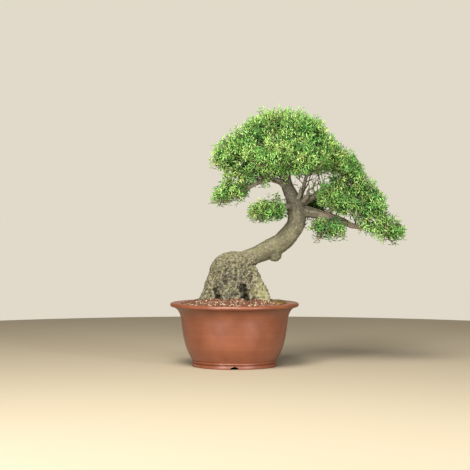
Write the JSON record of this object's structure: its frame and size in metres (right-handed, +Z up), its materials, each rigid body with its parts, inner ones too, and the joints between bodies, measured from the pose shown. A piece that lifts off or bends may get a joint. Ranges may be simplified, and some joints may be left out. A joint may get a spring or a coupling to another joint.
{
  "type": "potted bonsai tree",
  "caption": "Leaning broadleaf bonsai with a flared stump, a rounded crown and layered foliage pads, in a round unglazed clay pot.",
  "frame": {"origin": "middle of the whole object's footprint, at the height of the surface that the pot stands on; the pot's own axis is about 152 mm to the left of it", "axes": "+Z up, +Y away from the front, +X to the right, towards the tip of the long lower branch"},
  "size_m": [0.6644, 0.3594, 0.715],
  "materials": {
    "clay": "satin",
    "screen_plastic": "matte",
    "clip_wire": "satin",
    "soil": "matte",
    "gravel": "matte",
    "moss": "matte",
    "bark": "matte",
    "leaves": "satin"
  },
  "bodies": {
    "root": {"pot": "clay", "drain_screen": "screen_plastic", "screen_clip": "clip_wire", "soil": "soil", "gravel_layer": "gravel", "moss_cushion": "moss", "trunk_and_branches": "bark", "crown_top_foliage": "leaves", "crown_left_foliage": "leaves", "crown_right_foliage": "leaves", "crown_front_foliage": "leaves", "crown_back_foliage": "leaves", "lower_crown_foliage": "leaves", "left_drooping_foliage": "leaves", "lower_left_foliage": "leaves", "right_inner_foliage": "leaves", "right_outer_foliage": "leaves", "right_tip_foliage": "leaves", "right_under_foliage": "leaves", "back_low_foliage": "leaves"}
  },
  "joints": []
}
